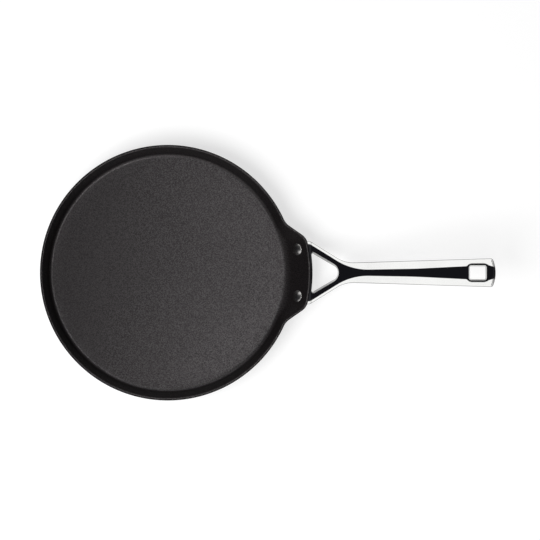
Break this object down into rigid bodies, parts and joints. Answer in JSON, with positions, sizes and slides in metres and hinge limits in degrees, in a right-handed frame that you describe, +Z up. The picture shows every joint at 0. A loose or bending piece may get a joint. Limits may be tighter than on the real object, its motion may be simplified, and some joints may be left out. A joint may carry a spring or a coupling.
{
  "type": "crepe pan",
  "caption": "Round shallow non-stick crepe pan with a widened lip and a forked polished steel handle riveted to it.",
  "frame": {"origin": "centre of the round base, on the surface that the pan stands on", "axes": "+X along the handle, away from the pan; +Z up out of the pan; +Y to the left of someone who looks along the handle from the pan"},
  "size_m": [0.4979, 0.28, 0.07],
  "materials": {
    "coated_aluminium": "dark satin non-stick coating inside, matt hard anodised outside",
    "magnetic_steel": "brushed",
    "polished_steel": "mirror polished",
    "rivet_steel": "polished"
  },
  "bodies": {
    "root": {"pan_body": "coated_aluminium", "induction_plate": "magnetic_steel", "handle": "polished_steel", "rivet_upper": "rivet_steel", "rivet_lower": "rivet_steel"}
  },
  "joints": []
}
